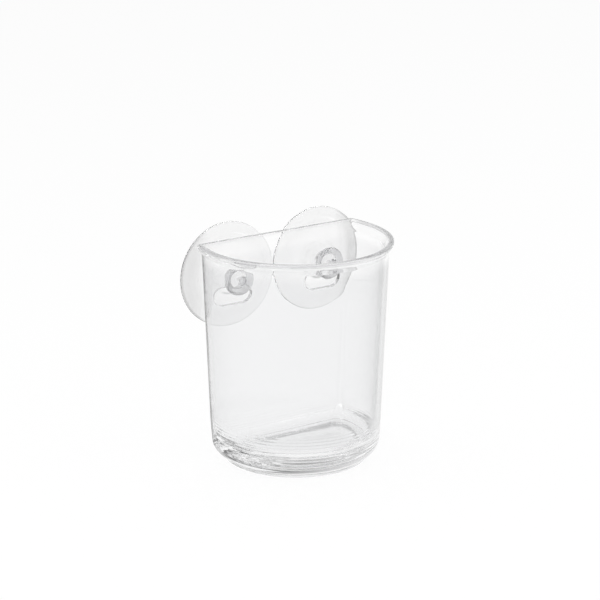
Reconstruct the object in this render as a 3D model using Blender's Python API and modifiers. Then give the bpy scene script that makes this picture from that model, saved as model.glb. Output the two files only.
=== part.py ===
"""Suction cup tumbler: a clear moulded cup with a flat back that two suction cups hold on a wall.

Metres, +Z up. The round front of the cup faces -Y and the flat back faces +Y, towards the wall.
The origin is the middle of the part's box, on the surface that the foot stands on.
"""
import math

import bmesh
import bpy
from mathutils import Vector

# Cup: its plan is a circle cut off by the flat back, a little fuller at the sides
CUP_HEIGHT = 0.104
LIP_RADIUS = 0.045
BACK_OFFSET = 0.0166
SIDE_FULLNESS = 0.023
FRONT_DRAFT_DEG = 2.3
FRONT_WALL = 0.0022
BACK_WALL = 0.0024
TOP_CORNER = 0.0014
BASE_CORNER = 0.0065
INNER_CORNER = 0.0007
FLOOR_CORNER = 0.0055
CORNER_RISE = 0.022

# Lip: the round wall flares out at the top, the flat back does not
LIP_FLARE = 0.0019
LIP_FLARE_HEIGHT = 0.0055
LIP_WIDTH = 0.0024
LIP_EDGE = 0.0009
BACK_EDGE = 0.0004

# Base: a thick floor with a rounded lower edge and a low foot ring
FLOOR_HEIGHT = 0.0103
FLOOR_FILLET = 0.0055
BASE_ROUNDING = 0.0085
FOOT_INSET = 0.0052
FOOT_HEIGHT = 0.0013
FOOT_WIDTH = 0.0045
FOOT_EDGE = 0.0005
RECESS_DEPTH = 0.0009
RECESS_SLOPE = 0.0009

# Keyholes in the back wall: a wide oval entry with a slot above it for the neck
HOLE_SPACING = 0.0496
NECK_HEIGHT = 0.0864
ENTRY_DROP = 0.0087
ENTRY_WIDTH = 0.0196
ENTRY_HEIGHT = 0.0088

# Suction cup: one soft moulding, turned about the axis of its neck
NECK_RADIUS = 0.0037
NECK_LENGTH = 0.0066
HEAD_RADIUS = 0.0073
HEAD_LENGTH = 0.0040
HEAD_RIM_HEIGHT = 0.0012
HEAD_EDGE = 0.0006
HEAD_FRONT_RADIUS = 0.0030
HOLLOW_RADIUS = 0.0022
HOLLOW_FLOOR_RADIUS = 0.0011
HOLLOW_DEPTH = 0.0058
HUB_RADIUS = 0.0085
HUB_EDGE = 0.0004
HUB_HEIGHT = 0.0011
WEB_THICKNESS = 0.0019
DISC_RADIUS = 0.0246
DISC_DEPTH = 0.0042
SKIRT_RADIUS = 0.0195
SKIRT_THICKNESS = 0.0009
SKIRT_STEP = 0.0004
RIM_THICKNESS = 0.0008
RIM_EDGE = 0.0003
RIM_LAND = 0.0012

# Running gap between a suction cup and the back wall that it sits in
CLEARANCE = 0.0003

# Smoothness of the round shapes
ARC_STEPS = 48
CORNER_STEPS = 4
RISE_STEPS = 4
FILLET_STEPS = 5
KEYHOLE_STEPS = 12
TURN_STEPS = 48

# Where the cup's own axis and its flat back lie, with the origin in the middle of the box
CUP_AXIS_Y = (LIP_RADIUS - BACK_OFFSET - DISC_DEPTH) / 2
BACK_Y = CUP_AXIS_Y + BACK_OFFSET
FRONT_TAPER = math.tan(math.radians(FRONT_DRAFT_DEG))
SLOT_HALF_WIDTH = NECK_RADIUS + CLEARANCE
QUARTER = math.pi / 2
COLLECTION = "suction_cup_tumbler"
CUTTERS = "cutters"


def clear_scene():
    for item in list(bpy.data.objects):
        bpy.data.objects.remove(item, do_unlink=True)


def make_collection(name):
    collection = bpy.data.collections.new(name)
    bpy.context.scene.collection.children.link(collection)
    return collection


def make_material(name, colour, roughness, ior):
    material = bpy.data.materials.new(name)
    material.use_nodes = True
    shader = material.node_tree.nodes["Principled BSDF"]
    shader.inputs["Base Color"].default_value = (*colour, 1.0)
    shader.inputs["Roughness"].default_value = roughness
    shader.inputs["Metallic"].default_value = 0.0
    shader.inputs["IOR"].default_value = ior
    shader.inputs["Transmission Weight"].default_value = 1.0
    return material


def add_object(name, mesh, collection, material=None):
    item = bpy.data.objects.new(name, mesh)
    collection.objects.link(item)
    if material:
        mesh.materials.append(material)
    return item


def finish_mesh(name, mesh):
    bmesh.ops.recalc_face_normals(mesh, faces=mesh.faces)
    data = bpy.data.meshes.new(name)
    mesh.to_mesh(data)
    mesh.free()
    return data


def arc(centre_x, centre_y, radius, start, end, steps):
    """Points on an arc, both ends included."""
    angles = [start + (end - start) * i / steps for i in range(steps + 1)]
    return [(centre_x + radius * math.cos(a), centre_y + radius * math.sin(a)) for a in angles]


def ease(share):
    """Goes from 0 to 1 with a level start and a level end."""
    return share * share * (3 - 2 * share)


def shares(steps):
    return [i / steps for i in range(steps + 1)]


def d_outline(radius, back, corner):
    """The cup's plan about its own axis: round front, flat back, rounded back corners.

    Behind the axis the sides are a little fuller than the circle, most of all at the flat back.
    """
    centre_y = back - corner
    centre_x = math.sqrt((radius - corner) ** 2 - centre_y ** 2)
    tangent = math.atan2(centre_y, centre_x)
    front = arc(0, 0, radius, -math.pi - tangent, tangent, ARC_STEPS)
    right = arc(centre_x, centre_y, corner, tangent, QUARTER, CORNER_STEPS)
    left = arc(-centre_x, centre_y, corner, QUARTER, math.pi - tangent, CORNER_STEPS)
    outline = front + right[1:] + left[:-1]
    return [(x * (1 + SIDE_FULLNESS * (max(y, 0.0) / BACK_OFFSET) ** 2), y) for x, y in outline]


def wall_radius(height):
    """The drafted outer wall's radius, without the lip's flare."""
    return LIP_RADIUS - LIP_FLARE - FRONT_TAPER * (CUP_HEIGHT - height)


def corner_radius(height):
    """The outer back corners are tight, but open out over the lowest part of the wall."""
    share = ease(min(height / CORNER_RISE, 1.0))
    return BASE_CORNER + (TOP_CORNER - BASE_CORNER) * share


def inner_corner_radius(height):
    """The inner back corners open out in the same way above the floor."""
    share = ease(min(max(height - FLOOR_HEIGHT, 0.0) / CORNER_RISE, 1.0))
    return FLOOR_CORNER + (INNER_CORNER - FLOOR_CORNER) * share


def place(outline, height):
    return [(x, y + CUP_AXIS_Y, height) for x, y in outline]


def outer_section(height, inset_front=0.0, inset_back=0.0):
    """The outer wall's plan at one height, drawn in by the given amounts."""
    radius = wall_radius(height) - inset_front
    return place(d_outline(radius, BACK_OFFSET - inset_back, corner_radius(height)), height)


def inner_section(height, inset_front=0.0, inset_back=0.0):
    """The inner wall's plan at one height, one wall thickness inside the outer wall."""
    radius = wall_radius(height) - FRONT_WALL - inset_front
    back = BACK_OFFSET - BACK_WALL - inset_back
    return place(d_outline(radius, back, inner_corner_radius(height)), height)


def foot_sections():
    """From the recess under the base, over the foot ring, to its upper edge."""
    ring_inner = FOOT_INSET + FOOT_WIDTH
    recess = ring_inner + RECESS_SLOPE
    ring_edge = FOOT_INSET + FOOT_EDGE
    return [
        outer_section(RECESS_DEPTH, recess, recess),
        outer_section(0.0, ring_inner, ring_inner),
        outer_section(0.0, ring_edge, ring_edge),
        outer_section(FOOT_EDGE, FOOT_INSET, FOOT_INSET),
        outer_section(FOOT_HEIGHT, FOOT_INSET, FOOT_INSET),
    ]


def base_rounding_sections():
    """The rounded lower edge, from where it clears the foot up to the straight wall."""
    foot_angle = math.asin(max(1 - FOOT_INSET / BASE_ROUNDING, 0.0))
    drop = 1 - math.cos(foot_angle)
    sections = []
    for share in shares(2 * FILLET_STEPS)[1:]:
        angle = foot_angle + (QUARTER - foot_angle) * share
        inset = BASE_ROUNDING * (1 - math.sin(angle))
        height = FOOT_HEIGHT + BASE_ROUNDING * (1 - math.cos(angle) - drop)
        sections.append(outer_section(height, inset, inset))
    return sections


def corner_rise_sections():
    """The lowest part of the outer wall, where its back corners close up."""
    low = FOOT_HEIGHT + BASE_ROUNDING
    rise = CORNER_RISE - low
    return [outer_section(low + rise * share) for share in shares(RISE_STEPS)[1:]]


def inner_corner_rise_sections():
    """The lowest part of the inner wall, from above, where its back corners open out."""
    high = FLOOR_HEIGHT + CORNER_RISE
    drop = CORNER_RISE - FLOOR_FILLET
    return [inner_section(high - drop * share) for share in shares(RISE_STEPS)[:-1]]


def lip_outer_sections():
    """The flare on the outside of the round wall and the rounded outer edge above it."""
    start = CUP_HEIGHT - LIP_FLARE_HEIGHT
    end = CUP_HEIGHT - 2 * LIP_EDGE
    sections = []
    for share in shares(FILLET_STEPS):
        height = start + (end - start) * share
        flare = wall_radius(height) - LIP_RADIUS
        sections.append(outer_section(height, flare * ease(share)))
    for share in shares(FILLET_STEPS):
        height = CUP_HEIGHT - LIP_EDGE * (1 - math.sin(QUARTER * share))
        inset = 1 - math.cos(QUARTER * share)
        flare = wall_radius(height) - LIP_RADIUS
        sections.append(outer_section(height, flare + LIP_EDGE * inset, BACK_EDGE * inset))
    return sections


def lip_inner_sections():
    """The inside of the lip, from the top down to the straight inner wall."""
    end = CUP_HEIGHT - LIP_FLARE_HEIGHT
    start = CUP_HEIGHT - BACK_EDGE
    lip_inner = LIP_RADIUS - LIP_WIDTH
    top_flare = wall_radius(CUP_HEIGHT) - FRONT_WALL - lip_inner
    sections = [inner_section(CUP_HEIGHT, top_flare - BACK_EDGE, -BACK_EDGE)]
    for share in shares(FILLET_STEPS):
        height = start + (end - start) * share
        flare = wall_radius(height) - FRONT_WALL - lip_inner
        sections.append(inner_section(height, flare * (1 - ease(share))))
    return sections


def floor_sections():
    """The fillet between the inner wall and the floor."""
    sections = []
    for share in shares(FILLET_STEPS):
        inset = FLOOR_FILLET * (1 - math.cos(QUARTER * share))
        height = FLOOR_HEIGHT + FLOOR_FILLET * (1 - math.sin(QUARTER * share))
        sections.append(inner_section(height, inset, inset))
    return sections


def add_ring(mesh, points):
    corners = [mesh.verts.new(point) for point in points]
    return [mesh.edges.new((a, b)) for a, b in zip(corners, corners[1:] + corners[:1])]


def extrude_ring(mesh, ring, points, target):
    """Extrudes a ring that lies on the given points and moves the new ring to the target's."""
    goal = {tuple(Vector(a)): b for a, b in zip(points, target)}
    grown = bmesh.ops.extrude_edge_only(mesh, edges=ring)["geom"]
    for item in grown:
        if isinstance(item, bmesh.types.BMVert):
            item.co = goal[tuple(item.co)]
    corners = {item for item in grown if isinstance(item, bmesh.types.BMVert)}
    edges = [item for item in grown if isinstance(item, bmesh.types.BMEdge)]
    return [edge for edge in edges if corners.issuperset(edge.verts)]


def loft(name, sections):
    """One closed shell through the sections, with the first and the last ring filled."""
    mesh = bmesh.new()
    first = add_ring(mesh, sections[0])
    ring = first
    for points, target in zip(sections, sections[1:]):
        ring = extrude_ring(mesh, ring, points, target)
    bmesh.ops.contextual_create(mesh, geom=first)
    bmesh.ops.contextual_create(mesh, geom=ring)
    return finish_mesh(name, mesh)


def keyhole_outline(centre_x):
    """An oval entry below and a slot with a round top above, in the plane of the back wall."""
    entry_z = NECK_HEIGHT - ENTRY_DROP
    end_radius = ENTRY_HEIGHT / 2
    end_x = ENTRY_WIDTH / 2 - end_radius
    left = arc(centre_x - end_x, entry_z, end_radius, QUARTER, 3 * QUARTER, KEYHOLE_STEPS)
    right = arc(centre_x + end_x, entry_z, end_radius, -QUARTER, QUARTER, KEYHOLE_STEPS)
    top = arc(centre_x, NECK_HEIGHT, SLOT_HALF_WIDTH, 0, math.pi, KEYHOLE_STEPS)
    shoulder_z = entry_z + end_radius
    right_shoulder = (centre_x + SLOT_HALF_WIDTH, shoulder_z)
    left_shoulder = (centre_x - SLOT_HALF_WIDTH, shoulder_z)
    return left + right + [right_shoulder] + top + [left_shoulder]


def add_keyhole_cutter(name, centre_x, collection):
    """The keyhole's outline, pushed through the back wall and a wall's thickness past each face."""
    mesh = bmesh.new()
    start_y = BACK_Y - 2 * BACK_WALL
    corners = [mesh.verts.new((x, start_y, z)) for x, z in keyhole_outline(centre_x)]
    face = mesh.faces.new(corners)
    grown = bmesh.ops.extrude_face_region(mesh, geom=[face])
    moved = [item for item in grown["geom"] if isinstance(item, bmesh.types.BMVert)]
    bmesh.ops.translate(mesh, verts=moved, vec=(0, 3 * BACK_WALL, 0))
    cutter = add_object(name, finish_mesh(name, mesh), collection)
    cutter.hide_render = True
    cutter.display_type = "WIRE"
    return cutter


def add_tumbler(parts, cutters, material):
    sections = foot_sections() + base_rounding_sections() + corner_rise_sections()
    sections += lip_outer_sections() + lip_inner_sections()
    sections += inner_corner_rise_sections() + floor_sections()
    data = loft("tumbler", sections)
    data.shade_smooth()
    data.set_sharp_from_angle(angle=math.radians(40))
    tumbler = add_object("tumbler", data, parts, material)
    for side, name in ((-1, "keyhole_left"), (1, "keyhole_right")):
        cutter = add_keyhole_cutter(name, side * HOLE_SPACING / 2, cutters)
        cut = tumbler.modifiers.new(name, "BOOLEAN")
        cut.operation = "DIFFERENCE"
        cut.object = cutter
    return tumbler


def head_profile():
    """Radius and height from the hollow in the head's front, over its crown, back to the neck."""
    under = NECK_LENGTH - CLEARANCE
    widest = under + HEAD_RIM_HEIGHT
    front = under + HEAD_LENGTH
    crown_width = HEAD_RADIUS - HEAD_FRONT_RADIUS
    points = [(0.0, front - HOLLOW_DEPTH), (HOLLOW_FLOOR_RADIUS, front - HOLLOW_DEPTH)]
    points.append((HOLLOW_RADIUS, front))
    for share in shares(2 * FILLET_STEPS):
        angle = QUARTER * (1 - share)
        radius = HEAD_FRONT_RADIUS + crown_width * math.cos(angle)
        points.append((radius, widest + (front - widest) * math.sin(angle)))
    for share in shares(FILLET_STEPS)[1:]:
        radius = HEAD_RADIUS - HEAD_EDGE * (1 - math.cos(QUARTER * share))
        points.append((radius, widest - HEAD_RIM_HEIGHT * math.sin(QUARTER * share)))
    points.append((NECK_RADIUS, under))
    return points


def dome_height(radius):
    """The hollow side's height: a shallow bowl from the web at the hub down to the rim's land."""
    crown = -CLEARANCE - WEB_THICKNESS
    land = DISC_RADIUS - RIM_LAND
    return crown - (DISC_DEPTH + crown) * (radius / land) ** 2


def disc_profile():
    """From the neck over the hub and the skirt to the rim, and back along the hollow side."""
    hub_foot = -CLEARANCE - HUB_HEIGHT
    skirt_top = dome_height(SKIRT_RADIUS) + SKIRT_THICKNESS
    rim_top = RIM_THICKNESS - DISC_DEPTH
    points = [(NECK_RADIUS, -CLEARANCE), (HUB_RADIUS - HUB_EDGE, -CLEARANCE)]
    points.append((HUB_RADIUS, -CLEARANCE - HUB_EDGE))
    for share in shares(FILLET_STEPS):
        radius = HUB_RADIUS + (SKIRT_RADIUS - HUB_RADIUS) * share
        points.append((radius, hub_foot + (skirt_top - hub_foot) * share * share))
    skirt_foot = skirt_top - SKIRT_STEP
    skirt_out = SKIRT_RADIUS + SKIRT_STEP
    for share in shares(FILLET_STEPS)[:-1]:
        radius = skirt_out + (DISC_RADIUS - RIM_EDGE - skirt_out) * share
        points.append((radius, skirt_foot + (rim_top - skirt_foot) * share))
    points.append((DISC_RADIUS - RIM_EDGE, rim_top))
    points.append((DISC_RADIUS, rim_top - RIM_EDGE))
    points.append((DISC_RADIUS, -DISC_DEPTH))
    land = DISC_RADIUS - RIM_LAND
    for share in shares(2 * FILLET_STEPS):
        radius = land * (1 - share)
        points.append((radius, dome_height(radius)))
    return points


def suction_cup_mesh(material):
    """The profile in the XZ plane, front of the head first; Z is the neck's axis."""
    mesh = bmesh.new()
    corners = [mesh.verts.new((r, 0, z)) for r, z in head_profile() + disc_profile()]
    for a, b in zip(corners, corners[1:]):
        mesh.edges.new((a, b))
    data = bpy.data.meshes.new("suction_cup")
    mesh.to_mesh(data)
    mesh.free()
    data.materials.append(material)
    return data


def add_suction_cup(name, side, data, parts):
    """Z of the turned mesh points out of the head, which is towards -Y in the cup."""
    cup = add_object(name, data, parts)
    cup.location = (side * HOLE_SPACING / 2, BACK_Y, NECK_HEIGHT)
    cup.rotation_euler = (QUARTER, 0, 0)
    turn = cup.modifiers.new("turn", "SCREW")
    turn.axis = "Z"
    turn.steps = TURN_STEPS
    turn.render_steps = TURN_STEPS
    turn.use_merge_vertices = True
    turn.merge_threshold = 0.00001
    turn.use_smooth_shade = True
    return cup


def main():
    clear_scene()
    parts = make_collection(COLLECTION)
    cutters = make_collection(CUTTERS)
    clear_plastic = make_material("clear_plastic", (0.96, 0.97, 0.98), 0.03, 1.58)
    clear_vinyl = make_material("clear_vinyl", (0.92, 0.93, 0.93), 0.12, 1.52)
    add_tumbler(parts, cutters, clear_plastic)
    vinyl = suction_cup_mesh(clear_vinyl)
    for side, name in ((-1, "suction_cup_left"), (1, "suction_cup_right")):
        add_suction_cup(name, side, vinyl, parts)


main()
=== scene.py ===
"""Looks of the suction cup tumbler: clear moulded plastic with soft clear suction cups.

Metres, +Z up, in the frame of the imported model: the round front faces -Y, the wall side +Y.
"""
import math

import bmesh
import bpy
from mathutils import Matrix, Vector


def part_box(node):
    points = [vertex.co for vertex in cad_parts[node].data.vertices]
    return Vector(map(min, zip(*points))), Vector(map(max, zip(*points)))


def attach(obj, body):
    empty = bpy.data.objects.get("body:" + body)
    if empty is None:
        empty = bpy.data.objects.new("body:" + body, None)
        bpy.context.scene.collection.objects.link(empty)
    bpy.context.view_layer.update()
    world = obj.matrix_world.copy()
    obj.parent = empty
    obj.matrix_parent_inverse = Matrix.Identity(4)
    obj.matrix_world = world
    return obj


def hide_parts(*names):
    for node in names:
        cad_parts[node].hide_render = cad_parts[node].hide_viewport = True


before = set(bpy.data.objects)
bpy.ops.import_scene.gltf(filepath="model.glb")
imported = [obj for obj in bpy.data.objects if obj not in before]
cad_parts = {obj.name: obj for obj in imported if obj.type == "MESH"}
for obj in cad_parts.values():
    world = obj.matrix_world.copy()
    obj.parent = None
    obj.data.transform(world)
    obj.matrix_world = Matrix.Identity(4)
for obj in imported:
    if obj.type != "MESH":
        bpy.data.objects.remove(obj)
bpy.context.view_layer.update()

CUP_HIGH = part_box("tumbler")[1]
DISC_LOW, DISC_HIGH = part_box("suction_cup_right")

# The cup's plan: a circle about its own axis, cut off by the flat back
CUP_HEIGHT = CUP_HIGH.z
BACK_Y = CUP_HIGH.y
LIP_RADIUS = 0.045
BACK_OFFSET = 0.0166
SIDE_FULLNESS = 0.023
CUP_AXIS_Y = BACK_Y - BACK_OFFSET
FRONT_DRAFT_DEG = 2.3
FRONT_WALL = 0.0022
BACK_WALL = 0.0024
TOP_CORNER = 0.0014
BASE_CORNER = 0.0065
INNER_CORNER = 0.0007
FLOOR_CORNER = 0.0055
CORNER_RISE = 0.022

# Lip: a rounded bead on top of a flare, on the round wall only
LIP_FLARE = 0.0019
LIP_FLARE_HEIGHT = 0.0055
LIP_WIDTH = 0.0024
BEAD_DEPTH = 0.0005
BEAD_TOP_RADIUS = 0.0010
BEAD_SIDE = 0.0004
BEAD_FOOT_RADIUS = 0.0004
INNER_EDGE = 0.0006
BACK_EDGE = 0.0005

# Base: thick floor, rounded lower edge, foot ring and a shallow recess inside it
FLOOR_HEIGHT = 0.0103
FLOOR_FILLET = 0.0055
BASE_ROUNDING = 0.0085
FOOT_INSET = 0.0052
FOOT_HEIGHT = 0.0013
FOOT_WIDTH = 0.0045
FOOT_EDGE = 0.0005
RECESS_DEPTH = 0.0009
RECESS_SLOPE = 0.0009

# Keyholes
NECK_HEIGHT = (DISC_LOW.z + DISC_HIGH.z) / 2
HOLE_X = (DISC_LOW.x + DISC_HIGH.x) / 2
ENTRY_DROP = 0.0087
ENTRY_WIDTH = 0.0196
ENTRY_HEIGHT = 0.0088
KEYHOLE_CHAMFER = 0.00018

# Suction cup, about the axis of its neck
NECK_RADIUS = 0.0037
NECK_LENGTH = 0.0066
NECK_FILLET = 0.0004
HEAD_RADIUS = 0.0073
HEAD_LENGTH = 0.0040
HEAD_RIM_HEIGHT = 0.0012
HEAD_EDGE = 0.0006
HEAD_FRONT_RADIUS = 0.0030
HOLLOW_RADIUS = 0.0022
HOLLOW_FLOOR_RADIUS = 0.0011
HOLLOW_DEPTH = 0.0058
HOLLOW_EDGE = 0.0003
HUB_RADIUS = 0.0085
HUB_SLOPE = 0.0024
HUB_HEIGHT = 0.0011
WEB_THICKNESS = 0.0019
DISC_RADIUS = (DISC_HIGH.z - DISC_LOW.z) / 2
DISC_DEPTH = DISC_HIGH.y - BACK_Y
SKIRT_RADIUS = 0.0195
SKIRT_THICKNESS = 0.0009
SKIRT_STEP = 0.0004
RIM_THICKNESS = 0.0008
RIM_EDGE = 0.00045
RIM_FOOT = 0.00015
RIM_LAND = 0.0012
CLEARANCE = 0.0003

# Smoothness of the round shapes
ARC_STEPS = 200
CORNER_STEPS = 12
RISE_STEPS = 16
FILLET_STEPS = 12
WALL_STEPS = 6
KEYHOLE_STEPS = 32
TURN_STEPS = 240
WELD_DISTANCE = 0.000002
SMOOTH_DEG = 35
TURNED_SMOOTH_DEG = 50

# What follows from the values above
QUARTER = math.pi / 2
FRONT_TAPER = math.tan(math.radians(FRONT_DRAFT_DEG))
SLOT_HALF_WIDTH = NECK_RADIUS + CLEARANCE
ENTRY_Z = NECK_HEIGHT - ENTRY_DROP
ENTRY_END_X = HOLE_X + ENTRY_WIDTH / 2

# Camera: the photograph is 600 pixels wide
PHOTO_PIXELS = 600
FOCAL_PIXELS = 2284.65
SENSOR_MM = 36
CAMERA_AZIMUTH_DEG = -33.46
CAMERA_ELEVATION_DEG = 16.99
CAMERA_DISTANCE = 1.0605
CAMERA_AIM = Vector((0.0055, 0.0170, 0.0724))


# Shapes


def shares(steps):
    return [i / steps for i in range(steps + 1)]


def ease(share):
    """Goes from 0 to 1 with a level start and a level end."""
    return share * share * (3 - 2 * share)


def arc(centre_x, centre_y, radius, start, end, steps):
    """Points on an arc, both ends included."""
    angles = [start + (end - start) * share for share in shares(steps)]
    return [(centre_x + radius * math.cos(a), centre_y + radius * math.sin(a)) for a in angles]


def d_outline(radius, back, corner):
    """The cup's plan about its own axis: round front, flat back, rounded back corners.

    Behind the axis it is a little fuller at the sides than a circle.
    """
    centre_y = back - corner
    centre_x = math.sqrt((radius - corner) ** 2 - centre_y ** 2)
    tangent = math.atan2(centre_y, centre_x)
    front = arc(0, 0, radius, -math.pi - tangent, tangent, ARC_STEPS)
    right = arc(centre_x, centre_y, corner, tangent, QUARTER, CORNER_STEPS)
    left = arc(-centre_x, centre_y, corner, QUARTER, math.pi - tangent, CORNER_STEPS)
    outline = front + right[1:] + left[:-1]
    return [(x * (1 + SIDE_FULLNESS * (max(y, 0.0) / BACK_OFFSET) ** 2), y) for x, y in outline]


def wall_radius(height):
    return LIP_RADIUS - LIP_FLARE - FRONT_TAPER * (CUP_HEIGHT - height)


def corner_radius(height):
    """The outer back corners are tight, but open out over the lowest part of the wall."""
    share = ease(min(height / CORNER_RISE, 1.0))
    return BASE_CORNER + (TOP_CORNER - BASE_CORNER) * share


def inner_corner_radius(height):
    """The inner back corners open out in the same way above the floor."""
    share = ease(min(max(height - FLOOR_HEIGHT, 0.0) / CORNER_RISE, 1.0))
    return FLOOR_CORNER + (INNER_CORNER - FLOOR_CORNER) * share


def section(outline, height):
    return [(x, y + CUP_AXIS_Y, height) for x, y in outline]


def outer_section(height, inset_front=0.0, inset_back=0.0):
    radius = wall_radius(height) - inset_front
    return section(d_outline(radius, BACK_OFFSET - inset_back, corner_radius(height)), height)


def inner_section(height, inset_front=0.0, inset_back=0.0):
    radius = wall_radius(height) - FRONT_WALL - inset_front
    back = BACK_OFFSET - BACK_WALL - inset_back
    return section(d_outline(radius, back, inner_corner_radius(height)), height)


def recess_sections():
    """The underside from its middle out to the foot ring, over it and up to its outer edge."""
    ring_inner = FOOT_INSET + FOOT_WIDTH
    sections = []
    for share in shares(FILLET_STEPS):
        inset = ring_inner + RECESS_SLOPE * (1 - share)
        sections.append(outer_section(RECESS_DEPTH * (1 - ease(share)), inset, inset))
    for share in shares(FILLET_STEPS):
        angle = QUARTER * share
        inset = FOOT_INSET + FOOT_EDGE * (1 - math.sin(angle))
        sections.append(outer_section(FOOT_EDGE * (1 - math.cos(angle)), inset, inset))
    sections.append(outer_section(FOOT_HEIGHT, FOOT_INSET, FOOT_INSET))
    return sections


def base_rounding_sections():
    """The rounded lower edge, from the foot ring up to the wall."""
    foot_angle = math.asin(max(1 - FOOT_INSET / BASE_ROUNDING, 0.0))
    drop = 1 - math.cos(foot_angle)
    sections = []
    for share in shares(2 * FILLET_STEPS)[1:]:
        angle = foot_angle + (QUARTER - foot_angle) * share
        inset = BASE_ROUNDING * (1 - math.sin(angle))
        height = FOOT_HEIGHT + BASE_ROUNDING * (1 - math.cos(angle) - drop)
        sections.append(outer_section(height, inset, inset))
    return sections


def outer_wall_sections():
    """First where the back corners close up, then the plain drafted wall."""
    low = FOOT_HEIGHT + BASE_ROUNDING
    high = CUP_HEIGHT - LIP_FLARE_HEIGHT
    heights = [low + (CORNER_RISE - low) * share for share in shares(RISE_STEPS)[1:]]
    heights += [CORNER_RISE + (high - CORNER_RISE) * share for share in shares(WALL_STEPS)[1:-1]]
    return [outer_section(height) for height in heights]


def lip_radius_inset(height, radius):
    """How far the plan at this height is drawn in from the drafted wall to get this radius."""
    return wall_radius(height) - radius


def lip_outer_sections():
    """The flare, the bead's foot, its side and its rounded top."""
    bead_foot = CUP_HEIGHT - BEAD_TOP_RADIUS - BEAD_SIDE - BEAD_FOOT_RADIUS
    start = CUP_HEIGHT - LIP_FLARE_HEIGHT
    neck_radius = LIP_RADIUS - BEAD_DEPTH
    sections = []
    for share in shares(FILLET_STEPS):
        height = start + (bead_foot - start) * share
        inset = lip_radius_inset(height, neck_radius)
        sections.append(outer_section(height, inset * ease(share)))
    for share in shares(FILLET_STEPS // 2)[1:]:
        angle = QUARTER * share
        height = bead_foot + BEAD_FOOT_RADIUS * (1 - math.cos(angle))
        radius = neck_radius + BEAD_DEPTH * math.sin(angle)
        sections.append(outer_section(height, lip_radius_inset(height, radius)))
    for share in shares(FILLET_STEPS):
        angle = QUARTER * share
        height = CUP_HEIGHT - BEAD_TOP_RADIUS * (1 - math.sin(angle))
        radius = LIP_RADIUS - BEAD_TOP_RADIUS * (1 - math.cos(angle))
        back = BACK_EDGE * (1 - math.cos(angle))
        sections.append(outer_section(height, lip_radius_inset(height, radius), back))
    return sections


def lip_inner_sections():
    """The inner edge's rounding and the inside of the flare, down to the straight inner wall."""
    end = CUP_HEIGHT - LIP_FLARE_HEIGHT
    start = CUP_HEIGHT - INNER_EDGE
    lip_inner = LIP_RADIUS - LIP_WIDTH
    sections = []
    for share in shares(FILLET_STEPS):
        angle = QUARTER * share
        height = CUP_HEIGHT - INNER_EDGE * (1 - math.cos(angle))
        radius = lip_inner + INNER_EDGE * (1 - math.sin(angle))
        inset = lip_radius_inset(height, radius) - FRONT_WALL
        sections.append(inner_section(height, inset, -BACK_EDGE * (1 - math.sin(angle))))
    for share in shares(FILLET_STEPS)[1:]:
        height = start + (end - start) * share
        inset = lip_radius_inset(height, lip_inner) - FRONT_WALL
        sections.append(inner_section(height, inset * (1 - ease(share))))
    return sections


def inner_wall_sections():
    """Down the plain wall, then to where the back corners have opened out above the floor."""
    high = CUP_HEIGHT - LIP_FLARE_HEIGHT
    middle = FLOOR_HEIGHT + CORNER_RISE
    low = FLOOR_HEIGHT + FLOOR_FILLET
    heights = [high + (middle - high) * share for share in shares(WALL_STEPS)[1:]]
    heights += [middle + (low - middle) * share for share in shares(RISE_STEPS)[1:-1]]
    return [inner_section(height) for height in heights]


def floor_sections():
    """The fillet from the inner wall down to the flat floor."""
    sections = []
    for share in shares(2 * FILLET_STEPS):
        inset = FLOOR_FILLET * (1 - math.cos(QUARTER * share))
        height = FLOOR_HEIGHT + FLOOR_FILLET * (1 - math.sin(QUARTER * share))
        sections.append(inner_section(height, inset, inset))
    return sections


def add_ring(mesh, points):
    corners = [mesh.verts.new(point) for point in points]
    return [mesh.edges.new((a, b)) for a, b in zip(corners, corners[1:] + corners[:1])]


def extrude_ring(mesh, ring, points, target):
    """Extrudes a ring that lies on the given points and moves the new ring to the target's."""
    goal = {tuple(Vector(a)): b for a, b in zip(points, target)}
    grown = bmesh.ops.extrude_edge_only(mesh, edges=ring)["geom"]
    corners = {item for item in grown if isinstance(item, bmesh.types.BMVert)}
    for corner in corners:
        corner.co = goal[tuple(corner.co)]
    edges = [item for item in grown if isinstance(item, bmesh.types.BMEdge)]
    return [edge for edge in edges if corners.issuperset(edge.verts)]


def loft(mesh, sections):
    """One closed shell through the sections, with the first and the last ring filled."""
    first = add_ring(mesh, sections[0])
    ring = first
    for points, target in zip(sections, sections[1:]):
        ring = extrude_ring(mesh, ring, points, target)
    bmesh.ops.contextual_create(mesh, geom=first)
    bmesh.ops.contextual_create(mesh, geom=ring)


def smooth(data, degrees):
    """Smooth shading, with the edges that turn by more than this kept sharp."""
    data.shade_smooth()
    data.set_sharp_from_angle(angle=math.radians(degrees))


def new_object(name, mesh, smooth_deg=SMOOTH_DEG):
    """Turns the bmesh into a smooth object in the scene, with its normals outward."""
    bmesh.ops.recalc_face_normals(mesh, faces=mesh.faces)
    data = bpy.data.meshes.new(name)
    mesh.to_mesh(data)
    mesh.free()
    smooth(data, smooth_deg)
    item = bpy.data.objects.new(name, data)
    bpy.context.scene.collection.objects.link(item)
    return item


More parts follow.
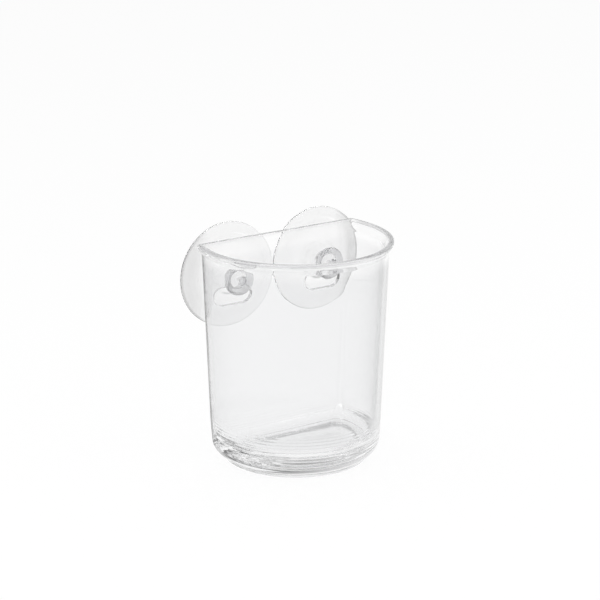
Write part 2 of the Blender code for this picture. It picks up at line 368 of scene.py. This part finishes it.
def keyhole_outline(centre_x, grow):
    """An oval entry with a slot above it, in the plane of the back wall, grown on all sides."""
    end_x = (ENTRY_WIDTH - ENTRY_HEIGHT) / 2
    radius = ENTRY_HEIGHT / 2 + grow
    half_slot = SLOT_HALF_WIDTH + grow
    left = arc(centre_x - end_x, ENTRY_Z, radius, QUARTER, 3 * QUARTER, KEYHOLE_STEPS)
    right = arc(centre_x + end_x, ENTRY_Z, radius, -QUARTER, QUARTER, KEYHOLE_STEPS)
    top = arc(centre_x, NECK_HEIGHT, half_slot, 0, math.pi, KEYHOLE_STEPS)
    shoulder_z = ENTRY_Z + radius
    right_shoulder = (centre_x + half_slot, shoulder_z)
    left_shoulder = (centre_x - half_slot, shoulder_z)
    return left + right + [right_shoulder] + top + [left_shoulder]


def keyhole_cutter(centre_x):
    """The keyhole, a little wider at both faces of the back wall, so that its rims are eased."""
    inner_y = BACK_Y - BACK_WALL
    depths = [(inner_y - BACK_WALL, KEYHOLE_CHAMFER), (inner_y, KEYHOLE_CHAMFER)]
    depths += [(inner_y + KEYHOLE_CHAMFER, 0.0), (BACK_Y - KEYHOLE_CHAMFER, 0.0)]
    depths += [(BACK_Y, KEYHOLE_CHAMFER), (BACK_Y + BACK_WALL, KEYHOLE_CHAMFER)]
    mesh = bmesh.new()
    loft(mesh, [[(x, y, z) for x, z in keyhole_outline(centre_x, grow)] for y, grow in depths])
    return new_object("keyhole_cutter", mesh)


def cut(item, cutter):
    """Takes the cutter out of the item and applies the result."""
    change = item.modifiers.new("cut", "BOOLEAN")
    change.operation = "DIFFERENCE"
    change.object = cutter
    bpy.context.view_layer.update()
    shaped = item.evaluated_get(bpy.context.evaluated_depsgraph_get())
    data = bpy.data.meshes.new_from_object(shaped)
    item.modifiers.clear()
    item.data = data
    bpy.data.objects.remove(cutter, do_unlink=True)


def make_tumbler():
    """The cup's shell, with both keyholes cut through its back."""
    mesh = bmesh.new()
    sections = recess_sections() + base_rounding_sections() + outer_wall_sections()
    sections += lip_outer_sections() + lip_inner_sections() + inner_wall_sections()
    sections += floor_sections()
    loft(mesh, sections)
    tumbler = new_object("tumbler_shell", mesh)
    for side in (-1, 1):
        cut(tumbler, keyhole_cutter(side * HOLE_X))
    smooth(tumbler.data, SMOOTH_DEG)
    return tumbler


def head_profile():
    """Radius and height from the hollow in the head's front, over its crown, back to the neck."""
    under = NECK_LENGTH - CLEARANCE
    widest = under + HEAD_RIM_HEIGHT
    front = under + HEAD_LENGTH
    crown_width = HEAD_RADIUS - HEAD_FRONT_RADIUS
    points = [(0.0, front - HOLLOW_DEPTH)]
    for share in shares(FILLET_STEPS // 2):
        angle = QUARTER * share
        radius = HOLLOW_FLOOR_RADIUS - HOLLOW_EDGE * (1 - math.sin(angle))
        points.append((radius, front - HOLLOW_DEPTH + HOLLOW_EDGE * (1 - math.cos(angle))))
    for share in shares(FILLET_STEPS // 2):
        angle = QUARTER * share
        radius = HOLLOW_RADIUS + HOLLOW_EDGE * (1 - math.cos(angle))
        points.append((radius, front - HOLLOW_EDGE * (1 - math.sin(angle))))
    for share in shares(3 * FILLET_STEPS):
        angle = QUARTER * (1 - share)
        radius = HEAD_FRONT_RADIUS + crown_width * math.cos(angle)
        points.append((radius, widest + (front - widest) * math.sin(angle)))
    for share in shares(FILLET_STEPS)[1:]:
        radius = HEAD_RADIUS - HEAD_EDGE * (1 - math.cos(QUARTER * share))
        points.append((radius, widest - HEAD_RIM_HEIGHT * math.sin(QUARTER * share)))
    for share in shares(FILLET_STEPS // 2):
        angle = QUARTER * share
        radius = NECK_RADIUS + NECK_FILLET * (1 - math.sin(angle))
        points.append((radius, under - NECK_FILLET * (1 - math.cos(angle))))
    return points


def dome_height(radius):
    """The hollow side: a shallow bowl from the web at the hub down to the rim's land."""
    crown = -CLEARANCE - WEB_THICKNESS
    land = DISC_RADIUS - RIM_LAND
    return crown - (DISC_DEPTH + crown) * (radius / land) ** 2


def disc_profile():
    """From the neck over the hub and the skirt to the rim, and back along the hollow side."""
    hub_foot = -CLEARANCE - HUB_HEIGHT
    skirt_top = dome_height(SKIRT_RADIUS) + SKIRT_THICKNESS
    rim_top = RIM_THICKNESS - DISC_DEPTH
    points = []
    for share in shares(FILLET_STEPS // 2):
        angle = QUARTER * share
        points.append((NECK_RADIUS + NECK_FILLET * (1 - math.cos(angle)),
                       -CLEARANCE + NECK_FILLET * (1 - math.sin(angle))))
    hub_out = HUB_RADIUS + HUB_SLOPE / 2
    for share in shares(FILLET_STEPS):
        radius = hub_out - HUB_SLOPE * (1 - share)
        points.append((radius, -CLEARANCE - HUB_HEIGHT * ease(share)))
    for share in shares(2 * FILLET_STEPS)[1:]:
        radius = hub_out + (SKIRT_RADIUS - hub_out) * share
        points.append((radius, hub_foot + (skirt_top - hub_foot) * share * share))
    skirt_foot = skirt_top - SKIRT_STEP
    skirt_out = SKIRT_RADIUS + SKIRT_STEP
    rim_in = DISC_RADIUS - RIM_EDGE
    for share in shares(FILLET_STEPS):
        radius = skirt_out + (rim_in - skirt_out) * share
        points.append((radius, skirt_foot + (rim_top - skirt_foot) * share))
    for share in shares(FILLET_STEPS // 2)[1:]:
        angle = QUARTER * share
        points.append((rim_in + RIM_EDGE * math.sin(angle),
                       rim_top - RIM_EDGE * (1 - math.cos(angle))))
    for share in shares(FILLET_STEPS // 3):
        angle = QUARTER * share
        points.append((DISC_RADIUS - RIM_FOOT * (1 - math.cos(angle)),
                       RIM_FOOT * (1 - math.sin(angle)) - DISC_DEPTH))
    land = DISC_RADIUS - RIM_LAND
    for share in shares(4 * FILLET_STEPS):
        radius = land * (1 - share)
        points.append((radius, dome_height(radius)))
    return points


def make_suction_cup(name, side):
    """The profile, turned about the neck's axis and set in its keyhole, head towards -Y."""
    mesh = bmesh.new()
    corners = [mesh.verts.new((r, 0, z)) for r, z in head_profile() + disc_profile()]
    edges = [mesh.edges.new((a, b)) for a, b in zip(corners, corners[1:])]
    bmesh.ops.spin(
        mesh, geom=corners + edges, cent=(0, 0, 0), axis=(0, 0, 1),
        angle=2 * math.pi, steps=TURN_STEPS, use_merge=True,
    )
    bmesh.ops.remove_doubles(mesh, verts=mesh.verts, dist=WELD_DISTANCE)
    lie_down = Matrix.Rotation(QUARTER, 4, "X")
    place = Matrix.Translation((side * HOLE_X, BACK_Y, NECK_HEIGHT)) @ lie_down
    bmesh.ops.transform(mesh, matrix=place, verts=mesh.verts)
    return new_object(name, mesh, TURNED_SMOOTH_DEG)


# Materials

BUMP_STRENGTH = 0.5
FACING_BLEND = 0.5

# Sockets of a colour Mix node, by number because their names repeat
MIX_SHARE = 0
MIX_FIRST = 6
MIX_SECOND = 7
MIX_RESULT = 2


class Signal:
    """An output socket. Sums, products and powers of signals add Math nodes."""

    def __init__(self, recipe, socket):
        self.recipe = recipe
        self.socket = socket

    def __add__(self, other):
        return self.recipe.maths("ADD", self, other)

    def __radd__(self, other):
        return self.recipe.maths("ADD", other, self)

    def __sub__(self, other):
        return self.recipe.maths("SUBTRACT", self, other)

    def __rsub__(self, other):
        return self.recipe.maths("SUBTRACT", other, self)

    def __mul__(self, other):
        return self.recipe.maths("MULTIPLY", self, other)

    def __rmul__(self, other):
        return self.recipe.maths("MULTIPLY", other, self)

    def __truediv__(self, other):
        return self.recipe.maths("DIVIDE", self, other)

    def __rtruediv__(self, other):
        return self.recipe.maths("DIVIDE", other, self)

    def __pow__(self, other):
        return self.recipe.maths("POWER", self, other)

    def __abs__(self):
        return self.recipe.maths("ABSOLUTE", self)


class Made:
    """A node that was added; made["Name"] is its output."""

    def __init__(self, recipe, node):
        self.recipe = recipe
        self.node = node

    def __getitem__(self, name):
        return Signal(self.recipe, self.node.outputs[name])


class Recipe:
    """Adds nodes to one node tree."""

    def __init__(self, tree):
        self.tree = tree
        tree.nodes.clear()

    def node(self, kind, settings=None, inputs=None):
        """Adds a node: its settings first, then the values or links of its sockets."""
        node = self.tree.nodes.new(kind)
        for name, value in (settings or {}).items():
            if name == "stops":
                self.set_stops(node.color_ramp, value)
            else:
                setattr(node, name, value)
        for name, value in (inputs or {}).items():
            if isinstance(value, Signal):
                self.tree.links.new(value.socket, node.inputs[name])
            else:
                node.inputs[name].default_value = value
        return Made(self, node)

    def set_stops(self, ramp, stops):
        while len(ramp.elements) < len(stops):
            ramp.elements.new(1.0)
        for element, (position, colour) in zip(ramp.elements, stops):
            element.position = position
            element.color = colour

    def maths(self, operation, *values):
        """A Math node on these numbers or signals."""
        inputs = dict(enumerate(values))
        return self.node("ShaderNodeMath", {"operation": operation}, inputs)["Value"]

    def mix(self, share, first, second):
        """Mixes two colours; all of the second one where the share is 1."""
        inputs = {MIX_SHARE: share, MIX_FIRST: first, MIX_SECOND: second}
        return self.node("ShaderNodeMix", {"data_type": "RGBA"}, inputs)[MIX_RESULT]

    def step(self, value, low, high):
        """Rises smoothly from 0 at the low value to 1 at the high one."""
        inputs = {"Value": value, "From Min": low, "From Max": high}
        return self.node("ShaderNodeMapRange", {"interpolation_type": "SMOOTHSTEP"}, inputs)["Result"]

    def wave(self, place, spacing):
        """A sine wave along the given place, from -1 to 1, with the spacing from crest to crest."""
        return self.maths("SINE", place * (2 * math.pi / spacing))

    def bump(self, relief, height):
        """A normal for a relief of about this height in metres."""
        inputs = {"Strength": BUMP_STRENGTH, "Distance": height, "Height": relief}
        return self.node("ShaderNodeBump", None, inputs)["Normal"]

    def place(self):
        """The piece's own coordinates, split into X, Y and Z."""
        place = self.node("ShaderNodeTexCoord")["Object"]
        return self.node("ShaderNodeSeparateXYZ", None, {0: place})

    def facing(self):
        """0 where a surface is seen square on, 1 where it is seen edge on."""
        return self.node("ShaderNodeLayerWeight", None, {"Blend": FACING_BLEND})["Facing"]

    def noise(self, per_metre, detail, stretch=(1, 1, 1), distortion=0.0):
        """Noise in the piece's own coordinates, with about this many features per metre."""
        place = self.node("ShaderNodeTexCoord")["Object"]
        mapped = self.node("ShaderNodeMapping", None, {"Vector": place, "Scale": stretch})["Vector"]
        inputs = {"Vector": mapped, "Scale": per_metre, "Detail": detail, "Distortion": distortion}
        return self.node("ShaderNodeTexNoise", None, inputs)["Fac"]


def new_recipe(name):
    material = bpy.data.materials.new(name)
    material.use_nodes = True
    return material, Recipe(material.node_tree)


def finish_clear(recipe, surface, shadow_tint):
    """A shader that lets the lamps' light through, tinted, instead of casting a black shadow."""
    shader = recipe.node("ShaderNodeBsdfPrincipled", None, surface)["BSDF"]
    is_shadow = recipe.node("ShaderNodeLightPath")["Is Shadow Ray"]
    through = recipe.node("ShaderNodeBsdfTransparent", None, {"Color": shadow_tint})["BSDF"]
    mixed = recipe.node("ShaderNodeMixShader", None, {0: is_shadow, 1: shader, 2: through})
    recipe.node("ShaderNodeOutputMaterial", None, {"Surface": mixed["Shader"]})


# Clear plastic: its grey tint, and painted light by where the light goes through: a painted highlight
# in the flare, painted shade in the lip, at the edges and in the back corners
PLASTIC_CLEAR = (0.948, 0.95, 0.953, 1)
# Painted highlight: the flare under the lip is left fully clear, lighter than the wall
PLASTIC_FLARE_HIGHLIGHT = (1.0, 1.0, 1.0, 1)
# Painted shade: the lip is a grey band, faded towards the flat back
PLASTIC_LIP_SHADE = (0.66, 0.66, 0.67, 1)
# Painted shade where the plastic is seen edge on; weaker in the flare, on the base and on the
# keyholes' sills
PLASTIC_EDGE_SHADE = (0.10, 0.105, 0.11, 1)
# Painted shade: near black on the back corners seen edge on
PLASTIC_CORNER_SHADE = (0.03, 0.03, 0.03, 1)
PLASTIC_SHADOW = (0.95, 0.95, 0.955, 1)
PLASTIC_EDGE_SHADE_POWER = 3.1
LIP_SHADE_DEPTH = 0.0022
TIP_DEPTH = 0.008
TIP_SHADE_FADE = 0.8
FLARE_EDGE_SHADE_FADE = 0.85
LIP_EDGE_SHADE_SHARE = 0.15
BASE_EDGE_SHADE_FADE = 0.7
CORNER_SHADE_DEPTH = 0.006
CORNER_FACING_FROM = 0.55
CORNER_FACING_TO = 0.85
SILL_BAND = 0.0012
SILL_SHADE_FADE = 0.8

# Its surface: long waves, flow lines, and fine turned lines of the mould at the base
PLASTIC_IOR = 1.49
PLASTIC_WAVES = {"per_metre": 45, "detail": 1.0}
PLASTIC_FLOW = {"per_metre": 160, "detail": 2.0, "stretch": (1, 1, 0.15)}
PLASTIC_SMUDGES = {"per_metre": 90, "detail": 3.0}
PLASTIC_WAVE_HEIGHT = 0.00012
WAVE_SHARE = 0.8
FLOW_SHARE = 0.2
TOOL_SPACING = 0.0016
TOOL_SHARE = 0.09
FILLET_TOOL_SHARE = 0.42
PLASTIC_POLISH = 0.012
SMUDGE_ROUGHNESS = 0.03


def low_part(recipe, height):
    """1 on the base and the lowest part of the wall, 0 above it."""
    return 1.0 - recipe.step(height, FLOOR_HEIGHT + FLOOR_FILLET, CORNER_RISE)


def past_entries(recipe, parts):
    """1 at the sides of the cup, past the keyholes' entries, 0 between their ends."""
    return recipe.step(abs(parts["X"]), ENTRY_END_X, ENTRY_END_X + BACK_WALL)


def keyhole_sill(recipe, parts):
    """1 on the lower wall of the keyholes' entries, 0 elsewhere; there the painted edge shade is
    weakened.
    """
    inside = recipe.step(parts["Y"], BACK_Y - BACK_WALL - SILL_BAND, BACK_Y - BACK_WALL)
    away = abs(parts["Z"] - (ENTRY_Z - ENTRY_HEIGHT / 2))
    near = 1.0 - recipe.step(away, SILL_BAND, 2 * SILL_BAND)
    return (1.0 - past_entries(recipe, parts)) * inside * near


def corner_shade_mask(recipe, parts, facing):
    """Where the painted corner shade goes: 1 on the back corners below the lip where they are seen
    edge on, 0 elsewhere.
    """
    behind = recipe.step(parts["Y"], BACK_Y - CORNER_SHADE_DEPTH, BACK_Y - BACK_WALL)
    lip_start = CUP_HEIGHT - LIP_FLARE_HEIGHT
    below_lip = 1.0 - recipe.step(parts["Z"], lip_start, CUP_HEIGHT - LIP_SHADE_DEPTH)
    edge_on = recipe.step(facing, CORNER_FACING_FROM, CORNER_FACING_TO)
    return behind * below_lip * past_entries(recipe, parts) * edge_on


def plastic_colour_with_painted_light(recipe, parts):
    """A little grey in the wall; a painted highlight keeps the flare clear, and painted shade darkens
    the lip, the edges seen edge on and the back corners.
    """
    facing = recipe.facing()
    height = parts["Z"]
    # Painted highlight: the flare is kept clear and its edge shade faded
    flare = recipe.step(height, CUP_HEIGHT - 2 * LIP_FLARE_HEIGHT, CUP_HEIGHT - LIP_FLARE_HEIGHT)
    # Painted shade in the lip, faded near the flat back
    tip = recipe.step(parts["Y"], BACK_Y - TIP_DEPTH, BACK_Y - BACK_WALL)
    lip = recipe.step(height, CUP_HEIGHT - LIP_SHADE_DEPTH, CUP_HEIGHT - BEAD_SIDE)
    lip = lip * (1.0 - tip * TIP_SHADE_FADE)
    body = recipe.mix(flare, PLASTIC_CLEAR, PLASTIC_FLARE_HIGHLIGHT)
    body = recipe.mix(lip, body, PLASTIC_LIP_SHADE)
    # Painted edge shade where the plastic is seen edge on, scaled by place
    upper = 1.0 - flare * FLARE_EDGE_SHADE_FADE + lip * LIP_EDGE_SHADE_SHARE
    lower = 1.0 - low_part(recipe, height) * BASE_EDGE_SHADE_FADE
    sill = 1.0 - keyhole_sill(recipe, parts) * SILL_SHADE_FADE
    edge = facing ** PLASTIC_EDGE_SHADE_POWER * upper * lower * sill
    body = recipe.mix(edge, body, PLASTIC_EDGE_SHADE)
    # Painted shade on the back corners seen edge on
    return recipe.mix(corner_shade_mask(recipe, parts, facing), body, PLASTIC_CORNER_SHADE)


def plastic_relief(recipe, height):
    """Waves and flow lines all over, with the mould's turned lines at the base."""
    waves = recipe.noise(**PLASTIC_WAVES)
    flow = recipe.noise(**PLASTIC_FLOW)
    fillet = recipe.step(height, FLOOR_HEIGHT - TOOL_SPACING, FLOOR_HEIGHT + TOOL_SPACING)
    tooling = recipe.wave(height, TOOL_SPACING) * low_part(recipe, height)
    tooling = tooling * (TOOL_SHARE + fillet * FILLET_TOOL_SHARE)
    return waves * WAVE_SHARE + flow * FLOW_SHARE + tooling


def clear_plastic():
    """Polished clear moulding."""
    material, recipe = new_recipe("clear_plastic_polished")
    parts = recipe.place()
    relief = plastic_relief(recipe, parts["Z"])
    surface = {
        "Base Color": plastic_colour_with_painted_light(recipe, parts),
        "Roughness": PLASTIC_POLISH + recipe.noise(**PLASTIC_SMUDGES) * SMUDGE_ROUGHNESS,
        "IOR": PLASTIC_IOR,
        "Transmission Weight": 1.0,
        "Normal": recipe.bump(relief, PLASTIC_WAVE_HEIGHT),
    }
    finish_clear(recipe, surface, PLASTIC_SHADOW)
    return material


# Clear vinyl: its own tints, and painted shade in the skirt, the rim and where seen edge on, by where
# the light goes through
VINYL_CLEAR = (1.0, 1.0, 1.0, 1)
# The skirt and rim greys are partly the vinyl's own tone and partly painted shade towards the sides
# of the cup; the rim grey also tints the flow streaks
VINYL_SKIRT_TONE_AND_SHADE = (0.80, 0.80, 0.80, 1)
VINYL_RIM_SHADE_AND_STREAKS = (0.62, 0.62, 0.62, 1)
VINYL_HEAD = (0.78, 0.78, 0.79, 1)
# Painted shade where the vinyl is seen edge on, weaker on the inner skirt
VINYL_EDGE_SHADE = (0.45, 0.455, 0.46, 1)
VINYL_SHADOW = (0.90, 0.90, 0.90, 1)
VINYL_EDGE_SHADE_POWER = 3.0
OUTER_SHADE_SHARE = 0.85
INNER_RIM_SHARE = 0.1
INNER_EDGE_SHADE_FADE = 0.7
RIM_LINE = 0.0013
STREAK_DEPTH = 0.06

# Its surface: soft clouds, flow streaks and faint mould rings
VINYL_IOR = 1.5
VINYL_HAZE = 0.05
CLOUD_ROUGHNESS = 0.08
VINYL_THROUGH = 0.95
VINYL_CLOUDS = {"per_metre": 130, "detail": 3.0, "distortion": 0.4}
VINYL_STREAKS = {"per_metre": 260, "detail": 4.0, "stretch": (1, 1, 0.12), "distortion": 1.2}
RING_SPACING = 0.0019
VINYL_RELIEF = 0.00014
CLOUD_SHARE = 0.75
STREAK_SHARE = 0.2
RING_SHARE = 0.05


def vinyl_colour_with_painted_shade(recipe, parts, reach, streaks):
    """Clear at the hub; the skirt and the rim are a little grey as the vinyl's own tone, and painted
    shade makes them greyer, most so towards the sides of the cup.
    """
    skirt = recipe.step(reach, HUB_RADIUS, SKIRT_RADIUS)
    rim = recipe.step(reach, DISC_RADIUS - RIM_LINE, DISC_RADIUS - RIM_LINE / 2)
    outer = recipe.step(abs(parts["X"]) - HOLE_X, HUB_RADIUS, SKIRT_RADIUS)
    head = 1.0 - recipe.step(parts["Y"], BACK_Y - NECK_LENGTH, BACK_Y - BACK_WALL)
    # Painted shade: the skirt and rim greys grow towards the sides of the cup, over a little grey of
    # the vinyl's own
    skirt_tone_and_shade = skirt * (1.0 - OUTER_SHADE_SHARE + outer * OUTER_SHADE_SHARE)
    rim_tone_and_shade = rim * (INNER_RIM_SHARE + outer * (1.0 - INNER_RIM_SHARE))
    body = recipe.mix(skirt_tone_and_shade, VINYL_CLEAR, VINYL_SKIRT_TONE_AND_SHADE)
    body = recipe.mix(rim_tone_and_shade, body, VINYL_RIM_SHADE_AND_STREAKS)
    body = recipe.mix(streaks * STREAK_DEPTH, body, VINYL_RIM_SHADE_AND_STREAKS)
    body = recipe.mix(head, body, VINYL_HEAD)
    # Painted edge shade where the vinyl is seen edge on
    edge = recipe.facing() ** VINYL_EDGE_SHADE_POWER * (1.0 - skirt * (1.0 - outer) * INNER_EDGE_SHADE_FADE)
    return recipe.mix(edge, body, VINYL_EDGE_SHADE)


def clear_vinyl():
    """Soft clear vinyl of the suction cups."""
    material, recipe = new_recipe("clear_vinyl_soft")
    parts = recipe.place()
    across = abs(parts["X"]) - HOLE_X
    up = parts["Z"] - NECK_HEIGHT
    reach = (across * across + up * up) ** 0.5
    cloud = recipe.noise(**VINYL_CLOUDS)
    streaks = recipe.noise(**VINYL_STREAKS)
    rings = recipe.wave(reach, RING_SPACING)
    relief = cloud * CLOUD_SHARE + streaks * STREAK_SHARE + rings * RING_SHARE
    surface = {
        "Base Color": vinyl_colour_with_painted_shade(recipe, parts, reach, streaks),
        "Roughness": VINYL_HAZE + cloud * CLOUD_ROUGHNESS,
        "IOR": VINYL_IOR,
        "Transmission Weight": VINYL_THROUGH,
        "Normal": recipe.bump(relief, VINYL_RELIEF),
    }
    finish_clear(recipe, surface, VINYL_SHADOW)
    return material


# Stage

FLOOR_COLOUR = (0.93, 0.93, 0.93, 1)
FLOOR_GRAIN_COLOUR = (0.95, 0.95, 0.95, 1)
FLOOR_GRAIN = {"per_metre": 400, "detail": 2.0}
FLOOR_SIZE = 12.0
FLOOR_DROP = 0.0002
FLOOR_GLOW_SHARE = 0.85
FLOOR_BENT_SHARE = 0.75
# Painted shade: how dark the floor in front of the cup is to rays bent by the plastic
FLOOR_FRONT_SHADE = 0.85
FLOOR_DARK_FROM = 0.30
FLOOR_DARK_TO = 0.04

# How bright the room is in front, at the sides and behind, by the sine of the height angle
ROOM = [
    (0.00, (0.05, 0.20, 0.85)),
    (0.35, (0.10, 0.20, 0.85)),
    (0.55, (1.00, 0.30, 0.80)),
    (0.70, (0.80, 0.65, 0.65)),
    (0.90, (1.00, 1.00, 1.00)),
]
ROOM_DIFFUSE = 0.75
NEVER_ZERO = 0.0001
BOUNCES = 64

# Softboxes: name, place, size and power in watts
LAMPS = [
    ("key_softbox", (-0.9, -0.5, 1.3), (0.9, 0.9), 9),
    ("fill_softbox", (1.2, -0.6, 0.9), (0.8, 1.2), 5),
]


def grey(level):
    return (level, level, level, 1)


def white_paper():
    """White to the camera; seen through the cup, painted shade makes it a little darker in front of
    the cup.
    """
    material, recipe = new_recipe("white_paper")
    colour = recipe.mix(recipe.noise(**FLOOR_GRAIN), FLOOR_COLOUR, FLOOR_GRAIN_COLOUR)
    paper = recipe.node("ShaderNodeBsdfDiffuse", None, {"Color": colour})["BSDF"]
    # Painted shade on the floor in front of the cup, seen only in refractions and reflections
    towards_front = {
        "Value": recipe.place()["Y"],
        "From Min": -FLOOR_DARK_FROM,
        "From Max": -FLOOR_DARK_TO,
        "To Min": FLOOR_FRONT_SHADE,
        "To Max": 1.0,
    }
    bent_level = recipe.node("ShaderNodeMapRange", None, towards_front)["Result"]
    path = recipe.node("ShaderNodeLightPath")
    level = recipe.mix(path["Is Camera Ray"], bent_level, grey(1.0))
    glow = recipe.node("ShaderNodeEmission", None, {"Color": level, "Strength": 1.0})["Emission"]
    bent = path["Is Glossy Ray"] + path["Is Transmission Ray"]
    share = path["Is Camera Ray"] * FLOOR_GLOW_SHARE + bent * FLOOR_BENT_SHARE
    mixed = recipe.node("ShaderNodeMixShader", None, {0: share, 1: paper, 2: glow})
    recipe.node("ShaderNodeOutputMaterial", None, {"Surface": mixed["Shader"]})
    return material


def make_floor():
    """A paper floor that looks as bright as the background and keeps a soft shadow."""
    mesh = bmesh.new()
    bmesh.ops.create_grid(mesh, x_segments=1, y_segments=1, size=FLOOR_SIZE / 2)
    bmesh.ops.translate(mesh, verts=mesh.verts, vec=(0, 0, -FLOOR_DROP))
    floor = new_object("floor", mesh)
    floor.data.materials.append(white_paper())


def make_world():
    """White to the camera; the clear pieces see a room with a bright ceiling and darker walls."""
    world = bpy.data.worlds.new("studio")
    world.use_nodes = True
    recipe = Recipe(world.node_tree)
    direction = recipe.node("ShaderNodeTexCoord")["Generated"]
    parts = recipe.node("ShaderNodeSeparateXYZ", None, {0: direction})
    across = parts["X"] * parts["X"]
    along = parts["Y"] * parts["Y"]
    whole = across + along + NEVER_ZERO
    is_back = recipe.maths("GREATER_THAN", parts["Y"], 0.0)
    sides = {"X": along * (1.0 - is_back) / whole, "Y": across / whole, "Z": along * is_back / whole}
    side_shares = recipe.node("ShaderNodeCombineXYZ", None, sides)["Vector"]
    stops = [(sine, (*levels, 1)) for sine, levels in ROOM]
    side_levels = recipe.node("ShaderNodeValToRGB", {"stops": stops}, {0: parts["Z"]})["Color"]
    room = recipe.node(
        "ShaderNodeVectorMath", {"operation": "DOT_PRODUCT"}, {0: side_levels, 1: side_shares}
    )["Value"]
    path = recipe.node("ShaderNodeLightPath")
    bent = path["Is Glossy Ray"] + path["Is Transmission Ray"]
    unseen = recipe.mix(bent, grey(ROOM_DIFFUSE), room)
    colour = recipe.mix(path["Is Camera Ray"], unseen, grey(1.0))
    glow = recipe.node("ShaderNodeBackground", None, {"Color": colour, "Strength": 1.0})
    recipe.node("ShaderNodeOutputWorld", None, {"Surface": glow["Background"]})
    bpy.context.scene.world = world


def make_lamp(name, place, size, watts):
    """A softbox that looks at the middle of the cup; it shows in reflections, not through the cup."""
    data = bpy.data.lights.new(name, "AREA")
    data.shape = "RECTANGLE"
    data.size, data.size_y = size
    data.energy = watts
    lamp = bpy.data.objects.new(name, data)
    lamp.location = place
    aim = Vector((0, CUP_AXIS_Y, CUP_HEIGHT / 2))
    lamp.rotation_euler = (Vector(place) - aim).to_track_quat("Z", "Y").to_euler()
    lamp.visible_transmission = False
    bpy.context.scene.collection.objects.link(lamp)


def make_camera():
    """The camera that was fitted to the photograph."""
    data = bpy.data.cameras.new("camera")
    data.sensor_width = SENSOR_MM
    data.lens = FOCAL_PIXELS * SENSOR_MM / PHOTO_PIXELS
    camera = bpy.data.objects.new("camera", data)
    turn = math.radians(CAMERA_AZIMUTH_DEG)
    rise = math.radians(CAMERA_ELEVATION_DEG)
    back = Vector((math.sin(turn) * math.cos(rise), -math.cos(turn) * math.cos(rise), math.sin(rise)))
    camera.location = CAMERA_AIM + back * CAMERA_DISTANCE
    camera.rotation_euler = back.to_track_quat("Z", "Y").to_euler()
    bpy.context.scene.collection.objects.link(camera)
    bpy.context.scene.camera = camera


def set_light_paths():
    """Enough bounces for light that runs along inside the walls to get out again."""
    cycles = bpy.context.scene.cycles
    cycles.max_bounces = BOUNCES
    cycles.transmission_bounces = BOUNCES
    cycles.glossy_bounces = BOUNCES


# The object

tumbler = make_tumbler()
tumbler.data.materials.clear()
tumbler.data.materials.append(clear_plastic())
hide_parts("tumbler")
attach(tumbler, "cup")

vinyl = clear_vinyl()
for side, where in ((-1, "left"), (1, "right")):
    piece = make_suction_cup("suction_cup_%s_moulding" % where, side)
    piece.data.materials.append(vinyl)
    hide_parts("suction_cup_%s" % where)
    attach(piece, "%s_suction_cup" % where)

make_floor()
make_world()
for lamp in LAMPS:
    make_lamp(*lamp)
make_camera()
set_light_paths()
bpy.context.scene.view_settings.view_transform = "Standard"
